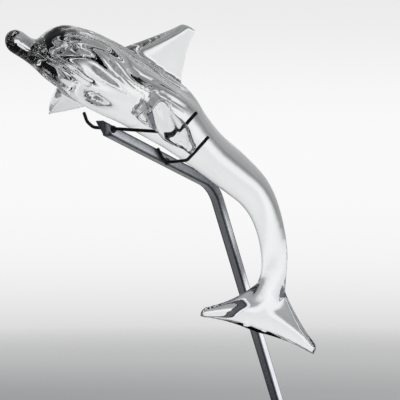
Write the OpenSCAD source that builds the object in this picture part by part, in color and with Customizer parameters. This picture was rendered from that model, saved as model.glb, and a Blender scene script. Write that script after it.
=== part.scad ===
// Leaping dolphin in solid crystal, resting in two wire cradles on a bent square steel bar with a flat base.
// Millimetres. +Z is up, the head points to -X, and the dolphin's left side faces -Y.
// The origin is the centre of the base plate's underside.

/* [Dolphin] */
// Lean of the body towards its own left side, in degrees
body_roll = 15; // [14:1:16]
// Extra lean that the tail fin has at its tips, in degrees
tail_twist = 29; // [24:1:34]
// Height of the dorsal fin above the backbone
dorsal_height = 84; // [80:1:90]
// Half span of the tail fin
fluke_span = 60; // [54:1:66]
// How far each flipper's tip is from the backbone, sideways
flipper_span = 90; // [88:1:93]

/* [Stand bar] */
// Width of the square steel bar
bar_size = 10; // [9.6:0.1:10]
// Rise of the bar's upper arm towards the head, in degrees
arm_rise = 15.5; // [15:0.1:15.6]
// Length of the upper arm along its centre line, from the corner to the cut end
arm_length = 190; // [188:1:194]
// Slant of the arm's cut end, in degrees away from a square cut
end_slant = 60; // [50:1:62]
// Lean of the bar's lower leg away from the vertical, in degrees
leg_lean = 28.5; // [28:0.1:29]
// Radius of the bar's bend, on its centre line
bend_radius = 46; // [36:1:54]

/* [Cradles] */
// Diameter of the cradle rods
rod_d = 3.2; // [3:0.1:3.3]
// Radius of the round weld beads that hold the rods to the bar
bead_r = 3.6; // [3.4:0.1:4]

/* [Base] */
// Length of the base plate, fore and aft
base_length = 300; // [290:5:340]
// Width of the base plate
base_width = 150; // [120:5:180]
// Thickness of the base plate
base_thickness = 10; // [8:0.5:14]
// Corner radius of the base plate
base_corner = 6; // [3:1:12]
// Thickness of the felt under the base plate
felt_thickness = 2; // [1:0.5:3]
// Leg length of the weld round the bar's foot
foot_weld_size = 4; // [3:0.5:5]

/* [Hidden] */

GLASS = [0.86, 0.92, 0.95, 0.45];
STEEL = [0.45, 0.48, 0.52];
BLACK_STEEL = [0.10, 0.11, 0.12];
FELT = [0.08, 0.09, 0.10];

RING = 28; // points round each body section
STEPS = 4; // sections between two stations

// Stations of the body from the tip of the beak to the root of the tail fin:
// [centre, height above the centre, depth below it, half width]
STATIONS = [
    [[-368, -17, 417], 10, 10, 10],
    [[-341, -21, 407], 10, 11, 11],
    [[-318, -24, 403], 28, 19, 21],
    [[-295, -26, 399], 32, 25, 27],
    [[-270, -28, 393], 33, 29, 30],
    [[-244, -29, 386], 33, 30, 31],
    [[-204, -29, 376], 32, 29.6, 31],
    [[-156, -29, 362], 31, 30, 29],
    [[-124, -29, 346], 26, 25, 25],
    [[ -90, -29, 330], 22, 22, 22],
    [[ -42, -31, 308], 21, 21, 20],
    [[  -7, -34, 288], 19, 19, 17],
    [[  12, -38, 262], 16, 16, 15],
    [[  18, -43, 228], 14, 14, 14],
    [[   7, -48, 197], 13, 13, 14],
    [[ -20, -52, 164],  9,  9, 22]
];
LAST = len(STATIONS) - 1;

// Smooth curve through a list of numbers or points, with t counted in list steps
function spline(p, t) =
    let (n = len(p) - 1,
         i = min(floor(t), n - 1),
         u = t - i,
         b = p[i],
         c = p[i + 1],
         a = i > 0 ? p[i - 1] : 2 * b - c,
         d = i < n - 1 ? p[i + 2] : 2 * c - b)
    0.5 * (2 * b + (c - a) * u + (2 * a - 5 * b + 4 * c - d) * u * u
           + (3 * b - a - 3 * c + d) * u * u * u);

function column(k) = [for (row = STATIONS) row[k]];
CENTRES = column(0);
TOPS = column(1);
BOTTOMS = column(2);
SIDES = column(3);

function unit(v) = v / norm(v);
function centre(t) = spline(CENTRES, t);
function along(t) = unit(centre(min(t + 0.02, LAST)) - centre(max(t - 0.02, 0)));

// The left-hand direction of the whole body, then of the section at t, turned further over the tail
YAW = 4;
LEFT = [-sin(YAW) * cos(body_roll), -cos(YAW) * cos(body_roll), -sin(body_roll)];
TWIST_START = 11;
function twist(t) = tail_twist * pow(max(0, t - TWIST_START) / (LAST - TWIST_START), 2);
function left(t) =
    let (a = along(t),
         l = unit(LEFT - a * (LEFT * a)))
    l * cos(twist(t)) + cross(l, a) * sin(twist(t));
function back(t) = cross(left(t), along(t));

// One section of the body as a closed ring of points
function section(t, f = 1) =
    let (c = centre(t), l = left(t), n = back(t),
         up = spline(TOPS, t) * f, down = spline(BOTTOMS, t) * f, side = spline(SIDES, t) * f)
    [for (k = [0 : RING - 1])
        let (a = 360 * k / RING, h = sin(a) > 0 ? up : down)
        c + l * side * cos(a) + n * h * sin(a)];

// Skin over a list of rings that all have the same number of points
module loft(rings) {
    m = len(rings[0]);
    n = len(rings);
    points = [for (r = rings) each r];
    sides = [for (i = [0 : n - 2], k = [0 : m - 1])
        let (a = i * m + k, b = i * m + (k + 1) % m)
        each [[a, b, b + m], [a, b + m, a + m]]];
    first = [[for (k = [m - 1 : -1 : 0]) k]];
    last = [[for (k = [0 : m - 1]) (n - 1) * m + k]];
    polyhedron(points, concat(sides, first, last));
}

// The beak's end and the tail's root are rounded off over this many steps of t
function end_factor(t) =
    let (nose = min(1, (t + 0.04) / 0.45))
    sqrt(1 - pow(1 - nose, 2));

module body() {
    loft([for (i = [0 : LAST * STEPS]) let (t = i / STEPS) section(t, end_factor(t))]);
}

// A point given by its station, its height towards the back and its distance to the left
function place(t, n, l) = centre(t) + back(t) * n + left(t) * l;
// The same past the tail's root, with the distance behind the last station in millimetres
function behind(d, n, l) = place(LAST, n, l) + along(LAST) * d;

function bezier(p, v) = p[0] * pow(1 - v, 2) + p[1] * 2 * v * (1 - v) + p[2] * v * v;

// Smooth curve through three points, with the middle one at v = 0.5
function through(p, v) =
    p[0] * (1 - v) * (1 - 2 * v) + p[1] * 4 * v * (1 - v) + p[2] * v * (2 * v - 1);

// A fin between a front and a rear edge, each three points from root to tip, thinning towards the tip
module fin(front, rear, root_thick, tip_thick) {
    rings = 12;
    around = 20;
    face = unit(cross(rear[0] - front[0], front[2] - front[0]));
    loft([for (i = [0 : rings])
        let (v = i / rings,
             f = through(front, v),
             r = through(rear, v),
             thick = (root_thick + (tip_thick - root_thick) * v) / 2)
        [for (k = [0 : around - 1])
            let (a = 360 * k / around)
            (f + r) / 2 + (r - f) / 2 * cos(a) + face * thick * sin(a)]]);
}

module dorsal_fin() {
    fin([place(4.15, 16, 0), place(5.9, 57, 0), place(6.5, dorsal_height - 2, 0)],
        [place(7.2, 14, 0), place(6.8, 54, 0), place(6.8, dorsal_height - 1, 0)],
        20, 9);
}

// The two flippers are not alike: the right one has its root further forward and lower on the chest
module flipper(side) {
    span = flipper_span * side;
    front = side > 0
        ? [place(4.6, -4, 10), place(5.64, -27.2, 0.545 * span), place(5.82, -35.2, span)]
        : [place(3.3, -20, -16), place(4.8, -31, 0.625 * span), place(5.8, -40, 0.975 * span)];
    rear = side > 0
        ? [place(5.5, 8, 10), place(5.975, -5.9, 0.605 * span), place(5.9, -32.2, span)]
        : [place(5.1, -20, -8), place(5.58, -33, 0.625 * span), place(5.9, -37, 0.975 * span)];
    fin(front, rear, 20, 9);
}

module fluke(side) {
    span = fluke_span * side;
    fin([place(13.6, 0, 2 * side), behind(-12.7, -4, 0.46 * span + 2), behind(24, -13, span + 1)],
        [behind(20, 0, -2 * side), behind(21, -3, 0.49 * span), behind(33, -13, span + 1)],
        20, 7);
}

module dolphin() {
    // One casting: the fins are hot-fused to the body, so all of it is a single closed skin
    color(GLASS) resize([0, 0, 0]) union() {
        body();
        dorsal_fin();
        for (side = [1, -1]) {
            flipper(side);
            fluke(side);
        }
    }
}

// ---- The stand's bar. Its drawing plane has x along the part and y upwards ----

GAP = 0.05; // clearance round a rod in the bar and in its weld beads
ROUND = 64; // facets of round steel shapes
CORNER = [-32.4, 295.5]; // where the centre lines of the arm and the leg cross
base_top = felt_thickness + base_thickness;
bend_angle = 90 - leg_lean - arm_rise;
foot_x = CORNER[0] + (CORNER[1] - base_top) * tan(leg_lean);
foot_half = bar_size / 2 / cos(leg_lean); // half length of the bar's level-cut foot
BEND_STEPS = 16;

// Points of the bend at a distance from its centre, from the leg to the arm
function bend_arc(radius) =
    let (toward = leg_lean + bend_angle / 2,
         middle = CORNER - bend_radius / cos(bend_angle / 2) * [cos(toward), sin(toward)])
    [for (k = [0 : BEND_STEPS])
        let (a = leg_lean + bend_angle * k / BEND_STEPS)
        middle + radius * [cos(a), sin(a)]];

function reversed(p) = [for (k = [len(p) - 1 : -1 : 0]) p[k]];

module bent_bar() {
    half = bar_size / 2;
    slant = half * tan(end_slant);
    forward = [-cos(arm_rise), sin(arm_rise)];
    upward = [sin(arm_rise), cos(arm_rise)];
    rotate([90, 0, 0]) translate([0, 0, -half]) linear_extrude(bar_size) polygon(concat(
        [[foot_x + foot_half, base_top]],
        bend_arc(bend_radius + half),
        [CORNER + forward * (arm_length + slant) + upward * half],
        [CORNER + forward * (arm_length - slant) - upward * half],
        reversed(bend_arc(bend_radius - half)),
        [[foot_x - foot_half, base_top]]
    ));
}

// ---- The cradles: bent rods, each given by its corner points from the far tip to the near tip ----

FRONT_ROD = [
    [-204.1, 33.1, 362.8], [-206.5, 27.5, 354], [-208.2, 18.5, 348.3],
    [-210.2, -82.4, 340.4], [-208.1, -88.4, 349.5], [-205.3, -97.2, 358.9]
];
REAR_ROD = [
    [-139.8, -6.8, 330], [-131, -6.8, 319.9], [-120.8, -6.8, 317.2],
    [-126.5, -32, 318.4], [-135, -47.2, 326], [-127, -57.6, 340.7]
];
ROD_RING = 20; // points round a rod
ROD_BEND = 3.5; // how far before a corner the rod starts to bend

// The path with a short curve in place of each inner corner
function bent(p) = [
    p[0],
    for (i = [1 : len(p) - 2])
        let (a = p[i] + ROD_BEND * unit(p[i - 1] - p[i]),
             b = p[i] + ROD_BEND * unit(p[i + 1] - p[i]))
        for (k = [0 : 4]) bezier([a, p[i], b], k / 4),
    p[len(p) - 1]
];

// A round rod along a path; reference is any direction that the path never runs along
module rod(corners, reference, d = rod_d) {
    path = bent(corners);
    last = len(path) - 1;
    loft([for (i = [0 : last])
        let (dir = unit(path[min(i + 1, last)] - path[max(i - 1, 0)]),
             u = unit(cross(dir, reference)),
             v = cross(u, dir))
        [for (k = [0 : ROD_RING - 1])
            let (a = 360 * k / ROD_RING)
            path[i] + d / 2 * (u * cos(a) + v * sin(a))]]);
}

module front_rod(d = rod_d) {
    rod(FRONT_ROD, [1, 0, 0], d);
}

module rear_rod(d = rod_d) {
    rod(REAR_ROD, [0.5, 0.2, 1], d);
}

// The straight hole that the front rod's long middle stretch runs through
module front_hole() {
    far = FRONT_ROD[2];
    run = FRONT_ROD[3] - far;
    translate(far) rotate([0, acos(run[2] / norm(run)), atan2(run[1], run[0])])
        cylinder(h = norm(run), d = rod_d + 2 * GAP, $fn = ROUND);
}

module stand_bar() {
    color(STEEL) difference() {
        bent_bar();
        front_hole();
    }
}

module front_cradle() {
    color(BLACK_STEEL) front_rod();
}

module rear_cradle() {
    color(BLACK_STEEL) rear_rod();
}

// A ball of weld metal on the bar's near face, cut off flat where it meets the bar
module bead(x, z) {
    difference() {
        translate([x, -bar_size / 2, z]) sphere(bead_r, $fn = 32);
        translate([x - bead_r, -bar_size / 2, z - bead_r]) cube(2 * bead_r);
    }
}

module front_weld() {
    color(BLACK_STEEL) difference() {
        bead(-208.8, 345.8);
        front_hole();
    }
}

module rear_weld() {
    color(BLACK_STEEL) difference() {
        bead(-122.6, 317.6);
        rear_rod(rod_d + 2 * GAP);
    }
}

// ---- The base ----

module rounded_plate(length, width, corner, height) {
    linear_extrude(height) {
        square([length, width - 2 * corner], center = true);
        square([length - 2 * corner, width], center = true);
        for (x = [-1, 1], y = [-1, 1])
            translate([x * (length / 2 - corner), y * (width / 2 - corner)]) circle(corner, $fn = ROUND);
    }
}

module base_plate() {
    color(BLACK_STEEL) translate([0, 0, felt_thickness])
        rounded_plate(base_length, base_width, base_corner, base_thickness);
}

module base_felt() {
    color(FELT) rounded_plate(base_length, base_width, base_corner, felt_thickness);
}

// A rectangle in a level plane, as a ring of points
function level(x, y, z) = [[x, y, z], [x, -y, z], [-x, -y, z], [-x, y, z]];

// Fillet weld round the bar's foot: a low pyramid with the bar taken out of it
module foot_weld() {
    side = bar_size / 2;
    top = foot_weld_size / 4;
    color(STEEL) difference() {
        translate([foot_x, 0, base_top]) loft([
            level(foot_half + foot_weld_size, side + foot_weld_size, 0),
            level(foot_half + top, side + top, foot_weld_size)
        ]);
        bent_bar();
    }
}

dolphin();
stand_bar();
front_cradle();
rear_cradle();
front_weld();
rear_weld();
foot_weld();
base_plate();
base_felt();
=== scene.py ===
"""Looks of the crystal dolphin on its bent-bar stand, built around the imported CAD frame.

The dolphin, the two cradle rods and the bar are rebuilt as smooth meshes in the places of their CAD nodes.
"""

import math

import bpy
import numpy as np
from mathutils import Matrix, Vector, kdtree
from mathutils import noise as mnoise


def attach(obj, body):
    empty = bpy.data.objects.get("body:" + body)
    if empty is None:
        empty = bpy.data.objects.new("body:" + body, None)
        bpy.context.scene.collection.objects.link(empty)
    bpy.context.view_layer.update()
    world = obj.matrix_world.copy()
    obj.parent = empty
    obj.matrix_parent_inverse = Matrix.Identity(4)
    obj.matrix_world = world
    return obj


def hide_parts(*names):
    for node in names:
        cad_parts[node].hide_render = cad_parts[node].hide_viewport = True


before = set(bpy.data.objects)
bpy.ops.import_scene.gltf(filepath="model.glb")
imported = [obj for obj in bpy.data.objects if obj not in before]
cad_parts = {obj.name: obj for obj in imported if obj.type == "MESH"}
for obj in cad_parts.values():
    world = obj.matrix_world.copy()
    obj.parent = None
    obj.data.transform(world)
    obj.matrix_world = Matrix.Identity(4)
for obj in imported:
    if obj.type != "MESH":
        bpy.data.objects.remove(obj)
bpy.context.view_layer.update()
MM = 0.001

# ---------------------------------------------------------------- curves


def spline(rows, t):
    """Smooth curve through rows, with t counted in rows."""
    last = len(rows) - 1
    i = min(int(math.floor(t)), last - 1)
    u = t - i
    start, end = rows[i], rows[i + 1]
    before = rows[i - 1] if i > 0 else 2 * start - end
    after = rows[i + 2] if i < last - 1 else 2 * end - start
    return 0.5 * (
        2 * start
        + (end - before) * u
        + (2 * before - 5 * start + 4 * end - after) * u * u
        + (3 * start - before - 3 * end + after) * u**3
    )


def unit(v):
    return v / np.linalg.norm(v)


def bezier(p, v):
    return p[0] * (1 - v) ** 2 + p[1] * 2 * v * (1 - v) + p[2] * v * v


def through(p, v):
    """Smooth curve through three points, with the middle one at v = 0.5."""
    return p[0] * (1 - v) * (1 - 2 * v) + p[1] * 4 * v * (1 - v) + p[2] * v * (2 * v - 1)


def smooth_step(x, low, high):
    """Rises from 0 to 1 as x goes from low to high."""
    x = np.clip((x - low) / (high - low), 0, 1)
    return x * x * (3 - 2 * x)


# ---------------------------------------------------------------- mesh helpers


def new_object(name, verts, faces):
    """A smooth-shaded object in the scene."""
    mesh = bpy.data.meshes.new(name)
    mesh.from_pydata([tuple(v) for v in verts], [], faces)
    mesh.update()
    mesh.polygons.foreach_set("use_smooth", [True] * len(mesh.polygons))
    obj = bpy.data.objects.new(name, mesh)
    bpy.context.scene.collection.objects.link(obj)
    return obj


def skin(rings):
    """Vertices and faces of a closed skin over rings that all have the same number of points."""
    m, n = len(rings[0]), len(rings)
    verts = [p for ring in rings for p in ring]
    faces = [
        (i * m + k, i * m + (k + 1) % m, (i + 1) * m + (k + 1) % m, (i + 1) * m + k)
        for i in range(n - 1)
        for k in range(m)
    ]
    faces.append(tuple(range(m - 1, -1, -1)))
    faces.append(tuple(range((n - 1) * m, n * m)))
    return verts, faces


def fuse(name, skins, voxel):
    """One closed skin round several overlapping closed skins, which are in millimetres."""
    verts, faces = [], []
    for rings in skins:
        v, f = skin(rings)
        faces += [tuple(i + len(verts) for i in face) for face in f]
        verts += [p * MM for p in v]
    obj = new_object(name, verts, faces)
    remesh = obj.modifiers.new("fuse", "REMESH")
    remesh.mode = "VOXEL"
    remesh.voxel_size = voxel
    remesh.use_smooth_shade = True
    graph = bpy.context.evaluated_depsgraph_get()
    fused = bpy.data.meshes.new_from_object(obj.evaluated_get(graph))
    obj.modifiers.clear()
    obj.data = fused
    return obj


SHRINK = 0.5
REGROW = -0.53


def soften(obj, plain, paired):
    """Evens out the mesh: plain passes round it off, and paired ones smooth it without shrinking it."""
    mesh = obj.data
    count = len(mesh.vertices)
    co = np.empty(count * 3)
    mesh.vertices.foreach_get("co", co)
    co = co.reshape(-1, 3)
    ends = np.empty(len(mesh.edges) * 2, dtype=np.int64)
    mesh.edges.foreach_get("vertices", ends)
    a, b = ends[0::2], ends[1::2]
    neighbours = np.bincount(ends, minlength=count)[:, None]
    for share in [SHRINK] * plain + [SHRINK, REGROW] * paired:
        sums = [np.bincount(a, co[b, k], count) + np.bincount(b, co[a, k], count) for k in range(3)]
        co = co + share * (np.stack(sums, 1) / neighbours - co)
    mesh.vertices.foreach_set("co", co.ravel())
    mesh.update()


def carve(obj, line, depth, width):
    """Presses a soft groove into the mesh along a line of points, which are in millimetres."""
    tree = kdtree.KDTree(len(line))
    for i, p in enumerate(line):
        tree.insert(Vector(p) * MM, i)
    tree.balance()
    reach = 3 * width
    for v in obj.data.vertices:
        _, _, gap = tree.find(v.co)
        if gap < reach:
            v.co -= v.normal * depth * math.exp(-((gap / width) ** 2))


# ---------------------------------------------------------------- dolphin's body

# Centre (x, y, z), height above it, depth below it and half width, in millimetres, from beak to tail
STATIONS = np.array([
    [-368, -17, 417, 10, 10, 10],
    [-341, -21, 407, 10, 11, 11],
    [-318, -24, 403, 28, 19, 21],
    [-295, -26, 399, 32, 25, 27],
    [-270, -28, 393, 33, 29, 30],
    [-244, -29, 386, 33, 30, 31],
    [-204, -29, 376, 32, 29.6, 31],
    [-156, -29, 362, 31, 30, 29],
    [-124, -29, 346, 26, 25, 25],
    [-90, -29, 330, 22, 22, 22],
    [-42, -31, 308, 21, 21, 20],
    [-7, -34, 288, 19, 19, 17],
    [12, -38, 262, 16, 16, 15],
    [18, -43, 228, 14, 14, 14],
    [7, -48, 197, 13, 13, 14],
    [-20, -52, 164, 9, 9, 22],
])
LAST = len(STATIONS) - 1
BODY_ROLL = math.radians(15)
YAW = math.radians(4)
LEFT = np.array([
    -math.sin(YAW) * math.cos(BODY_ROLL),
    -math.cos(YAW) * math.cos(BODY_ROLL),
    -math.sin(BODY_ROLL),
])
TAIL_TWIST = math.radians(29)
TWIST_START = 11
TANGENT_STEP = 0.02
NOSE_OVERHANG = 0.04
NOSE_LENGTH = 0.45

# The worked surface. Depths are shares of the body's radius, and a pair holds the two stations between which
# something comes or goes, unless it says otherwise.
FAINT_WAVES = 0.004
FOLD_DEPTH = 0.055
FOLDS_AROUND = 1.9
FOLDS_ALONG = 0.5
STREAK_DEPTH = 0.03
STREAKS_AROUND = 11
STREAK_TURN = 1.3
STREAK_WANDER = 4
DEEPER_STREAKS = 0.9
STREAKS_DEEPEN = (3.5, 5.0)
HEAD_ENDS = (2.0, 3.0)
BACK_ENDS = (6.3, 7.6)
BACK_BEGINS = (-0.3, 0.1)  # sines of the angle above the side
RIDGE_HEIGHT = 0.06
RIDGE_DEGREES_DOWN = 12
RIDGE_DEGREES_WIDE = 15
RIDGE_RISES = (1.4, 2.6)
RIDGE_FALLS = (4.8, 6.4)


def centre(t):
    return spline(STATIONS, t)[:3]


def axes(t):
    """Directions at t: along the body, to its left and towards its back."""
    along = unit(centre(min(t + TANGENT_STEP, LAST)) - centre(max(t - TANGENT_STEP, 0)))
    left = unit(LEFT - along * (LEFT @ along))
    twist = TAIL_TWIST * (max(0, t - TWIST_START) / (LAST - TWIST_START)) ** 2
    left = left * math.cos(twist) + np.cross(left, along) * math.sin(twist)
    return along, left, np.cross(left, along)


def end_factor(t):
    """Rounds off the beak's tip: from near 0 at its end to 1 behind it."""
    nose = min(1.0, (t + NOSE_OVERHANG) / NOSE_LENGTH)
    return math.sqrt(1 - (1 - nose) ** 2)


def surface(t, angle, grow=1.0):
    """A point on the body's skin at t, with the angle from its left side towards its back."""
    _, left, back = axes(t)
    top, bottom, side = spline(STATIONS, t)[3:]
    height = top if math.sin(angle) > 0 else bottom
    f = end_factor(t) * grow
    return centre(t) + left * side * f * math.cos(angle) + back * height * f * math.sin(angle)


def place(t, height, leftward):
    """A point by its station, height towards the back and distance to the left."""
    _, left, back = axes(t)
    return centre(t) + back * height + left * leftward


def behind(distance, height, leftward):
    """The same past the tail's root, by the distance behind it."""
    return place(LAST, height, leftward) + axes(LAST)[0] * distance


def ripple(t, angle):
    """Unevenness of the skin: folds and streaks on the head and back, and a low ridge along each flank."""
    on_back = smooth_step(math.sin(angle), *BACK_BEGINS) * (1 - smooth_step(t, *BACK_ENDS))
    on_head = 1 - smooth_step(t, *HEAD_ENDS)
    worked = max(on_back, on_head)
    spot = (FOLDS_AROUND * math.cos(angle), FOLDS_AROUND * math.sin(angle), FOLDS_ALONG * t)
    folds = mnoise.noise(Vector(spot))
    streaks = math.sin(STREAKS_AROUND * angle + STREAK_TURN * t + STREAK_WANDER * folds)
    streak_depth = STREAK_DEPTH * (1 + DEEPER_STREAKS * smooth_step(t, *STREAKS_DEEPEN))
    lift = (FAINT_WAVES + FOLD_DEPTH * worked) * folds + streak_depth * worked * streaks
    from_ridge = math.degrees(math.asin(math.sin(angle))) + RIDGE_DEGREES_DOWN
    ridge = smooth_step(t, *RIDGE_RISES) * (1 - smooth_step(t, *RIDGE_FALLS))
    return lift + RIDGE_HEIGHT * ridge * math.exp(-((from_ridge / RIDGE_DEGREES_WIDE) ** 2))


def body_rings(steps=10, around=96):
    """Rings along the body, with so many steps between stations."""
    return [
        [
            surface(i / steps, a, 1 + ripple(i / steps, a))
            for a in (2 * math.pi * k / around for k in range(around))
        ]
        for i in range(LAST * steps + 1)
    ]


# ---------------------------------------------------------------- dolphin's fins and mouth

DORSAL_HEIGHT = 84
FLUKE_SPAN = 60
FLIPPER_SPAN = 90
DISPLAY_SIDE = np.array([-0.83, -0.56, 0])  # the way the stand is meant to be looked at from
FIN_RINGS = 56
FIN_POINTS = 64
BANDS_ACROSS = 0.8
BANDS_ALONG = 2.6
BAND_WANDER = 1.2
WANDER_ACROSS = 2
WANDER_ALONG = 5
BEVEL_FADE = 0.6
MOUTH_START = 0.25
MOUTH_LENGTH = 2.9
MOUTH_POINTS = 80
MOUTH_ANGLE = -12
MOUTH_DROP = 14
MOUTH_DROPS = (1.5, 3.1)
GROOVE_DEPTH = 1.4
GROOVE_WIDTH = 2.2


def fin_outline(power):
    """A flat web's section with rounded edges, as points from -1 to 1. A higher power is squarer."""
    made = []
    for k in range(FIN_POINTS):
        c, s = math.cos(2 * math.pi * k / FIN_POINTS), math.sin(2 * math.pi * k / FIN_POINTS)
        made.append((
            math.copysign(abs(c) ** (2 / power), c),
            math.copysign(abs(s) ** (2 / power), s),
        ))
    return made


def worked_bands(x, v):
    """Slanting bands over a fin's faces, -1 to 1, at x from its front to its rear and v from root to tip."""
    wander = BAND_WANDER * math.sin(WANDER_ACROSS * x + WANDER_ALONG * v)
    return math.sin(2 * math.pi * (BANDS_ACROSS * x + BANDS_ALONG * v) + wander)


def fin_rings(front, rear, root_thick, tip_thick, power, rear_share=1.0, bands=0.0, bevel=0.0):
    """A fin between a front and a rear edge, each given as three points from root to tip.

    rear_share is the rear edge's thickness over the front one's, bands is the depth of the worked bands as a
    share of the thickness, and bevel cuts the rear edge back on the display side.
    """
    face = unit(np.cross(rear[0] - front[0], front[2] - front[0]))
    shown = math.copysign(1, face @ DISPLAY_SIDE)
    outline = fin_outline(power)
    made = []
    for i in range(FIN_RINGS + 1):
        v = i / FIN_RINGS
        f, r = through(front, v), through(rear, v)
        half_thick = (root_thick + (tip_thick - root_thick) * v) / 2
        ring = []
        for x, y in outline:
            here = half_thick * (1 + (rear_share - 1) * (x + 1) / 2 + bands * worked_bands(x, v))
            cut = bevel * (1 - BEVEL_FADE * v) * max(0, shown * y) * smooth_step(x, 0, 1)
            ring.append((f + r) / 2 + (r - f) / 2 * x - unit(r - f) * cut + face * here * y)
        made.append(ring)
    return made


def dorsal_fin():
    front = [place(4.15, 16, 0), place(5.9, 57, 0), place(6.5, DORSAL_HEIGHT - 2, 0)]
    rear = [place(7.2, 14, 0), place(6.8, 54, 0), place(6.8, DORSAL_HEIGHT - 1, 0)]
    return fin_rings(front, rear, root_thick=26, tip_thick=12, power=4.0, rear_share=0.45)


def left_flipper():
    """The long banded flipper on the display side."""
    span = FLIPPER_SPAN
    front = [place(4.6, -4, 10), place(5.64, -27.2, 0.545 * span), place(5.82, -35.2, span)]
    rear = [place(5.5, 8, 10), place(5.975, -5.9, 0.605 * span), place(5.9, -32.2, span)]
    return fin_rings(front, rear, root_thick=19, tip_thick=11, power=2.2, rear_share=0.6, bands=0.4)


def right_flipper():
    span = -FLIPPER_SPAN
    front = [place(3.3, -20, -16), place(4.8, -31, 0.625 * span), place(5.8, -40, 0.975 * span)]
    rear = [place(5.1, -20, -8), place(5.58, -33, 0.625 * span), place(5.9, -37, 0.975 * span)]
    return fin_rings(front, rear, root_thick=12, tip_thick=8, power=2.2, rear_share=0.7)


def fluke(side):
    """Half of the tail fin: side is 1 on the left and -1 on the right."""
    span = FLUKE_SPAN * side
    front = [place(13.6, 0, 2 * side), behind(-12.7, -4, 0.46 * span + 2), behind(24, -13, span + 1)]
    rear = [behind(20, 0, -2 * side), behind(21, -3, 0.49 * span), behind(33, -13, span + 1)]
    return fin_rings(front, rear, root_thick=15, tip_thick=7, power=5.0, rear_share=1.7, bevel=14)


def mouth_line(on_left):
    """Points along one side of the mouth, from near the beak's tip back along the head."""
    line = []
    for i in range(MOUTH_POINTS):
        t = MOUTH_START + MOUTH_LENGTH * i / (MOUTH_POINTS - 1)
        angle = math.radians(MOUTH_ANGLE - MOUTH_DROP * smooth_step(t, *MOUTH_DROPS))
        line.append(surface(t, angle if on_left else math.pi - angle))
    return line


VOXEL = 1.5
dolphin = fuse(
    "crystal_dolphin",
    [body_rings(), dorsal_fin(), left_flipper(), right_flipper(), fluke(1), fluke(-1)],
    VOXEL * MM,
)
soften(dolphin, plain=8, paired=80)
for on_left in (True, False):
    carve(dolphin, mouth_line(on_left), GROOVE_DEPTH * MM, GROOVE_WIDTH * MM)
dolphin.data.update()
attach(dolphin, "crystal")
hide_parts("dolphin")

# ---------------------------------------------------------------- stand bar and rods

BAR = 10.0
ARM_RISE = math.radians(15.5)
ARM_LENGTH = 190.0
END_SLANT = math.radians(60)
LEG_LEAN = math.radians(28.5)
BEND_RADIUS = 46.0
CORNER = np.array([-32.4, 0, 295.5])
BASE_TOP = 12.0
EDGE_ROUND = 1.1
LEG_STEPS = 40
BEND_STEPS = 32
ARM_STEPS = 30
LEG_UP = np.array([-math.sin(LEG_LEAN), 0, math.cos(LEG_LEAN)])
ARM_WAY = np.array([-math.cos(ARM_RISE), 0, math.sin(ARM_RISE)])

ROD_D = 3.2
ROD_BEND = 3.5
FRONT_ROD = [
    [-204.1, 33.1, 362.8], [-206.5, 27.5, 354], [-208.2, 18.5, 348.3],
    [-210.2, -82.4, 340.4], [-208.1, -88.4, 349.5], [-205.3, -97.2, 358.9],
]
REAR_ROD = [
    [-139.8, -6.8, 330], [-131, -6.8, 319.9], [-120.8, -6.8, 317.2],
    [-126.5, -32, 318.4], [-135, -47.2, 326], [-127, -57.6, 340.7],
]
# How a rod's end is rounded: distance in from the end, and share of the diameter there
ROD_END = [(0, 0.72), (0.12, 0.88), (0.35, 0.98), (0.7, 1.0)]


def bar_path():
    """Centre-line points of the bar with their upper-side directions, from the foot to the cut end."""
    bend = math.pi / 2 - LEG_LEAN - ARM_RISE
    toward = LEG_LEAN + bend / 2
    middle = CORNER - BEND_RADIUS / math.cos(bend / 2) * np.array([math.cos(toward), 0, math.sin(toward)])
    arc = []
    for k in range(BEND_STEPS + 1):
        a = LEG_LEAN + bend * k / BEND_STEPS
        out = np.array([math.cos(a), 0, math.sin(a)])
        arc.append((middle + out * BEND_RADIUS, out))
    foot = CORNER - LEG_UP * (CORNER[2] - BASE_TOP) / math.cos(LEG_LEAN)
    leg_end, leg_out = arc[0]
    leg = [(foot + (leg_end - foot) * k / LEG_STEPS, leg_out) for k in range(LEG_STEPS)]
    tip = CORNER + ARM_WAY * ARM_LENGTH
    arm_start, arm_out = arc[-1]
    arm = [(arm_start + (tip - arm_start) * k / ARM_STEPS, arm_out) for k in range(1, ARM_STEPS + 1)]
    return leg + arc + arm


def bar_section(corner_steps=6, flat_steps=6):
    """Rounded square as (outward, sideways) pairs, and 1 where a point is on an edge of the bar, else 0."""
    inner = BAR / 2 - EDGE_ROUND
    quarter = math.pi / 2

    def rounding_centre(corner):
        a = quarter * corner + quarter / 2
        return inner * math.copysign(1, math.cos(a)), inner * math.copysign(1, math.sin(a))

    made = []
    for corner in range(4):
        x, y = rounding_centre(corner)
        next_x, next_y = rounding_centre(corner + 1)
        for k in range(corner_steps + 1):
            a = quarter * corner + quarter * k / corner_steps
            made.append((x + EDGE_ROUND * math.cos(a), y + EDGE_ROUND * math.sin(a), 1.0))
        a = quarter * corner + quarter
        for k in range(1, flat_steps):
            u = k / flat_steps
            px = x * (1 - u) + next_x * u + EDGE_ROUND * math.cos(a)
            py = y * (1 - u) + next_y * u + EDGE_ROUND * math.sin(a)
            made.append((px, py, 0.0))
    return made


def build_bar():
    """The bar, with its foot cut level and its upper end cut at a slant."""
    path = bar_path()
    section = bar_section()
    rings = []
    for i, (p, out) in enumerate(path):
        ring = []
        for u, w, _ in section:
            q = p + out * u + np.array([0, w, 0])
            if i == 0:
                q = q - LEG_UP * (u * math.tan(LEG_LEAN))
            if i == len(path) - 1:
                q = q + ARM_WAY * (u * math.tan(END_SLANT))
            ring.append(q * MM)
        rings.append(ring)
    obj = new_object("bent_square_bar", *skin(rings))
    edge = obj.data.attributes.new("edge", "FLOAT", "POINT")
    edge.data.foreach_set("value", [s[2] for s in section] * len(path))
    return obj


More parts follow.
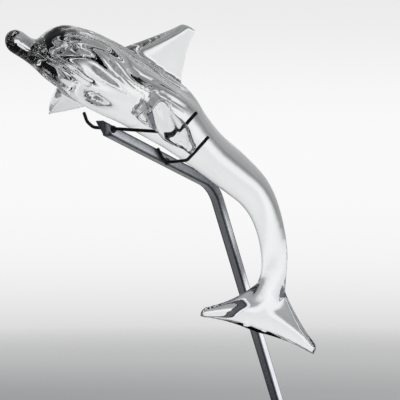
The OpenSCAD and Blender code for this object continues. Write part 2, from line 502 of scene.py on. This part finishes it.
def bent(corners, reach, steps=8):
    """The path with a short curve in place of each inner corner."""
    p = [np.array(c, float) for c in corners]
    made = [p[0]]
    for a, b, c in zip(p, p[1:], p[2:]):
        near, far = b + reach * unit(a - b), b + reach * unit(c - b)
        made += [bezier([near, b, far], k / steps) for k in range(steps + 1)]
    return made + [p[-1]]


def build_rod(name, corners, reference, around=28):
    """Round rod along a bent path, with softly rounded ends. The path never runs along the reference."""
    path = bent(corners, ROD_BEND)
    rings = []
    last = len(path) - 1
    for i, p in enumerate(path):
        way = unit(path[min(i + 1, last)] - path[max(i - 1, 0)])
        u = unit(np.cross(way, reference))
        v = np.cross(u, way)
        stops = [(0, 1.0)]
        if i == 0:
            stops = ROD_END
        if i == last:
            stops = [(-inward, share) for inward, share in reversed(ROD_END)]
        for shift, share in stops:
            rings.append([
                (p + way * shift + ROD_D / 2 * share * (u * math.cos(a) + v * math.sin(a))) * MM
                for a in (2 * math.pi * k / around for k in range(around))
            ])
    return new_object(name, *skin(rings))


bar = build_bar()
front = build_rod("front_cradle_rod", FRONT_ROD, (1, 0, 0))
rear = build_rod("rear_cradle_rod", REAR_ROD, (0.5, 0.2, 1))
for piece, node, slot_name in (
    (bar, "stand_bar", "bar_steel"),
    (front, "front_cradle", "black_rod"),
    (rear, "rear_cradle", "black_rod"),
):
    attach(piece, "stand")
    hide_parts(node)

# ---------------------------------------------------------------- materials


def colour(value):
    """RGBA from a grey level, an RGB colour or an RGBA one."""
    if isinstance(value, (int, float)):
        return (value, value, value, 1)
    return (*value, 1) if len(value) == 3 else value


class Tree:
    """Short way to write a node tree."""

    def __init__(self, tree):
        self.tree = tree

    def add(self, kind, inputs=None, **settings):
        node = self.tree.nodes.new(kind)
        for key, value in settings.items():
            setattr(node, key, value)
        for key, value in (inputs or {}).items():
            self.put(node, key, value)
        return node

    def put(self, node, key, value):
        """Links an input to another node's output, or gives it a constant."""
        if isinstance(value, bpy.types.NodeSocket):
            self.tree.links.new(value, node.inputs[key])
        else:
            node.inputs[key].default_value = value

    def ramp(self, value, stops, blend="LINEAR"):
        node = self.add("ShaderNodeValToRGB", {"Fac": value})
        line = node.color_ramp
        line.interpolation = blend
        first, *inner, last = stops
        for element, (position, shade) in zip(line.elements, (first, last)):
            element.position = position
            element.color = colour(shade)
        for position, shade in inner:
            line.elements.new(position).color = colour(shade)
        return node.outputs["Color"]

    def math(self, what, a, b):
        return self.add("ShaderNodeMath", {0: a, 1: b}, operation=what).outputs[0]

    def dot(self, vector, way):
        return self.add("ShaderNodeVectorMath", {0: vector, 1: way}, operation="DOT_PRODUCT").outputs["Value"]

    def mix(self, factor, a, b):
        """Colour between a and b, which are two nodes' outputs."""
        return self.add("ShaderNodeMix", {0: factor, 6: a, 7: b}, data_type="RGBA").outputs[2]


class Material(Tree):
    """A node tree with its shader at hand."""

    def __init__(self, name):
        self.material = bpy.data.materials.new(name)
        self.material.use_nodes = True
        super().__init__(self.material.node_tree)
        self.shader = self.tree.nodes["Principled BSDF"]

    def set(self, **values):
        for key, value in values.items():
            self.put(self.shader, key.replace("_", " "), value)

    def coords(self, stretch=(1, 1, 1)):
        where = self.add("ShaderNodeTexCoord")
        return self.add("ShaderNodeMapping", {"Vector": where.outputs["Object"], "Scale": stretch}).outputs[0]

    def noise(self, vector, scale, detail, rough):
        return self.add(
            "ShaderNodeTexNoise", {"Vector": vector, "Scale": scale, "Detail": detail, "Roughness": rough}
        ).outputs["Fac"]

    def bump(self, height, strength, distance):
        return self.add(
            "ShaderNodeBump", {"Height": height, "Strength": strength, "Distance": distance}
        ).outputs[0]


def crystal():
    """Clear glass with a faintly uneven polish."""
    n = Material("polished_crystal")
    where = n.coords()
    waves = n.noise(where, 38, 2.0, 0.45)
    haze = n.noise(where, 420, 3.0, 0.6)
    n.set(
        Base_Color=(0.985, 0.992, 1.0, 1),
        IOR=1.54,
        Roughness=n.ramp(haze, [(0.45, 0.0), (0.8, 0.02)]),
        Normal=n.bump(waves, 0.15, 0.0008),
        Transmission_Weight=1.0,
    )
    return n.material


def drawn_steel():
    """Square bar stock: satin blue-grey faces with fine lines along it, and a painted dark reflection along
    its rounded edges.
    """
    n = Material("drawn_steel")
    where = n.coords()
    patch = n.noise(where, 55, 5.0, 0.6)
    fine = n.noise(n.coords((1, 6, 1)), 900, 3.0, 0.6)
    edge = n.add("ShaderNodeAttribute", attribute_name="edge").outputs["Fac"]
    spots = n.noise(where, 260, 6.0, 0.7)
    worn = n.ramp(patch, [(0.3, (0.74, 0.76, 0.81)), (0.7, (0.86, 0.88, 0.92))])
    # Painted dark reflection: near-black, mottled colour that is mixed over the bar's rounded edges.
    scale = n.ramp(spots, [(0.35, (0.03, 0.034, 0.04)), (0.7, (0.12, 0.13, 0.15))])
    painted_edge_reflection = n.math("MULTIPLY", edge, 0.9)
    n.set(
        Base_Color=n.mix(painted_edge_reflection, worn, scale),
        Metallic=0.35,
        Roughness=n.ramp(spots, [(0.2, 0.18), (0.8, 0.34)]),
        Normal=n.bump(n.math("ADD", fine, n.math("MULTIPLY", spots, 0.6)), 0.25, 0.0003),
    )
    return n.material


def black_rod():
    """Blackened wire, slightly mottled."""
    n = Material("blackened_rod")
    spots = n.noise(n.coords(), 350, 5.0, 0.65)
    n.set(
        Base_Color=n.ramp(spots, [(0.3, (0.012, 0.013, 0.015)), (0.75, (0.05, 0.053, 0.06))]),
        Metallic=0.7,
        Roughness=n.ramp(spots, [(0.2, 0.3), (0.8, 0.5)]),
        Normal=n.bump(spots, 0.2, 0.0003),
    )
    return n.material


def weld_metal():
    """Dark, sooty beads with ripples."""
    n = Material("weld_metal")
    spots = n.noise(n.coords(), 600, 6.0, 0.7)
    ripples = n.noise(n.coords((1, 1, 3)), 420, 2.0, 0.5)
    n.set(
        Base_Color=n.ramp(spots, [(0.3, (0.02, 0.02, 0.022)), (0.8, (0.12, 0.12, 0.13))]),
        Metallic=0.8,
        Roughness=n.ramp(spots, [(0.2, 0.35), (0.8, 0.7)]),
        Normal=n.bump(ripples, 0.6, 0.0008),
    )
    return n.material


def black_paint():
    """Satin paint with a fine orange peel and wiped smears."""
    n = Material("satin_black_paint")
    where = n.coords()
    peel = n.noise(where, 900, 3.0, 0.5)
    smears = n.noise(where, 18, 6.0, 0.65)
    n.set(
        Base_Color=n.ramp(smears, [(0.3, (0.02, 0.02, 0.022)), (0.75, (0.035, 0.036, 0.04))]),
        Roughness=n.ramp(smears, [(0.25, 0.32), (0.8, 0.5)]),
        Normal=n.bump(peel, 0.12, 0.0003),
    )
    return n.material


def felt():
    """Pressed fibres in uneven clumps."""
    n = Material("pressed_felt")
    fibres = n.noise(n.coords((1, 1, 0.4)), 2400, 6.0, 0.75)
    clumps = n.noise(n.coords(), 300, 4.0, 0.6)
    n.set(
        Base_Color=n.ramp(clumps, [(0.3, (0.02, 0.021, 0.024)), (0.8, (0.06, 0.062, 0.068))]),
        Roughness=0.95,
        Normal=n.bump(fibres, 0.8, 0.0006),
        Sheen_Weight=0.35,
    )
    return n.material


def wear(obj, material):
    """Gives an object one material only."""
    obj.data.materials.clear()
    obj.data.materials.append(material)


STEEL, ROD, WELD = drawn_steel(), black_rod(), weld_metal()
wear(dolphin, crystal())
wear(bar, STEEL)
wear(front, ROD)
wear(rear, ROD)
for node in ("front_weld", "rear_weld", "foot_weld"):
    wear(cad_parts[node], WELD)
wear(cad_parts["base_plate"], black_paint())
wear(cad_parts["base_felt"], felt())

# ---------------------------------------------------------------- stage, light and camera

VIEW_AZIMUTH = math.radians(-56)
VIEW_DISTANCE = 1.45
VIEW_WIDTH = 0.4  # metres across the picture, at the point looked at
SENSOR_WIDTH = 36
LOOK_AT = Vector((-0.080, -0.0159, 0.280))
AWAY = Vector((-math.sin(VIEW_AZIMUTH), math.cos(VIEW_AZIMUTH), 0))  # the way the camera looks
RIGHT = Vector((math.cos(VIEW_AZIMUTH), math.sin(VIEW_AZIMUTH), 0))
UP = Vector((0, 0, 1))
FLOOR_FADE = 1.7  # metres from the stand at which the floor has faded out
KEY_POWER = 34
TOP_POWER = 7

# Brightness of the studio by height, from straight down at 0 through level at 0.5 to straight up at 1
WALL_BY_HEIGHT = [
    (0.0, 0.02), (0.30, 0.05), (0.40, 0.20), (0.43, 0.38), (0.445, 0.56), (0.462, 0.80), (0.48, 0.92),
    (0.51, 0.96), (0.54, 0.94), (0.57, 0.79), (0.66, 0.90), (0.85, 0.90), (0.95, 0.50),
]
ROOM_BY_HEIGHT = [
    (0.0, (0.03, 0.035, 0.045)), (0.45, (0.03, 0.036, 0.048)), (0.55, (0.02, 0.026, 0.036)),
    (0.75, (0.08, 0.09, 0.11)), (1.0, (0.25, 0.26, 0.28)),
]
# How much of the wall shows by how far ahead it is, as a cosine
WALL_AHEAD = [(0.15, 0.0), (0.45, 1.0)]


def round_sheet(radius, rings=24, around=96):
    """Vertices and faces of a level disc."""
    verts = [(0, 0, 0)]
    for i in range(1, rings + 1):
        r = radius * i / rings
        for k in range(around):
            a = 2 * math.pi * k / around
            verts.append((r * math.cos(a), r * math.sin(a), 0))
    faces = [(0, 1 + k, 1 + (k + 1) % around) for k in range(around)]
    for i in range(rings - 1):
        for k in range(around):
            a, b = 1 + i * around + k, 1 + i * around + (k + 1) % around
            faces.append((a, a + around, b + around, b))
    return verts, faces


def make_floor():
    """Round floor that fades out into the studio's background, with painted shade: dark on the camera's side,
    pale on the far side.
    """
    floor = new_object("floor", *round_sheet(FLOOR_FADE))
    n = Material("floor_with_painted_shade")
    where = n.add("ShaderNodeTexCoord").outputs["Object"]
    far = n.add("ShaderNodeVectorMath", {0: where}, operation="LENGTH").outputs["Value"]
    n.set(
        # Painted shade: the floor's colour runs from dark on the camera's side to pale on the far side.
        Base_Color=n.ramp(n.dot(where, AWAY), [(0.0, 0.2), (0.3, 0.40), (0.6, 0.48), (1.0, 0.7)]),
        Roughness=0.85,
        Alpha=n.ramp(n.math("DIVIDE", far, FLOOR_FADE), [(0.3, 1.0), (1.0, 0.0)]),
    )
    wear(floor, n.material)


def make_world():
    """Soft studio: a bright wall on the far side of the stand, and a dim room round the rest."""
    world = bpy.data.worlds.new("studio")
    world.use_nodes = True
    bpy.context.scene.world = world
    n = Tree(world.node_tree)
    way = n.add("ShaderNodeTexCoord").outputs["Generated"]
    rise = n.add("ShaderNodeSeparateXYZ", {"Vector": way}).outputs["Z"]
    height = n.add("ShaderNodeMath", {0: rise, 1: 0.5, 2: 0.5}, operation="MULTIPLY_ADD").outputs[0]
    wall = n.ramp(height, WALL_BY_HEIGHT, "B_SPLINE")
    room = n.ramp(height, ROOM_BY_HEIGHT, "B_SPLINE")
    lit = n.ramp(n.dot(way, AWAY), WALL_AHEAD, "B_SPLINE")
    background = n.tree.nodes["Background"]
    n.put(background, "Color", n.mix(lit, room, wall))
    n.put(background, "Strength", 1.0)


def make_light(name, place_at, size, power):
    """Softbox aimed at the dolphin. Glass and steel don't show it, as it would be a hard white patch."""
    light = bpy.data.lights.new(name, "AREA")
    light.shape = "RECTANGLE"
    light.size, light.size_y = size
    light.energy = power
    obj = bpy.data.objects.new(name, light)
    bpy.context.scene.collection.objects.link(obj)
    obj.location = place_at
    obj.rotation_mode = "QUATERNION"
    obj.rotation_quaternion = (LOOK_AT - place_at).to_track_quat("-Z", "Y")
    obj.visible_transmission = False
    obj.visible_glossy = False


def make_camera():
    data = bpy.data.cameras.new("camera")
    data.sensor_width = SENSOR_WIDTH
    data.lens = SENSOR_WIDTH * VIEW_DISTANCE / VIEW_WIDTH
    data.clip_start = 0.01
    data.clip_end = 100
    obj = bpy.data.objects.new("camera", data)
    bpy.context.scene.collection.objects.link(obj)
    obj.location = LOOK_AT - AWAY * VIEW_DISTANCE
    obj.rotation_mode = "QUATERNION"
    obj.rotation_quaternion = AWAY.to_track_quat("-Z", "Y")
    bpy.context.scene.camera = obj


make_floor()
make_world()
make_light("key_softbox", LOOK_AT - AWAY * 0.6 + RIGHT * 1.4 + UP * 0.3, (0.5, 0.9), KEY_POWER)
make_light("top_softbox", LOOK_AT + UP * 1.6 + AWAY * 0.3, (1.2, 1.2), TOP_POWER)
make_camera()
bpy.context.scene.view_settings.view_transform = "Standard"
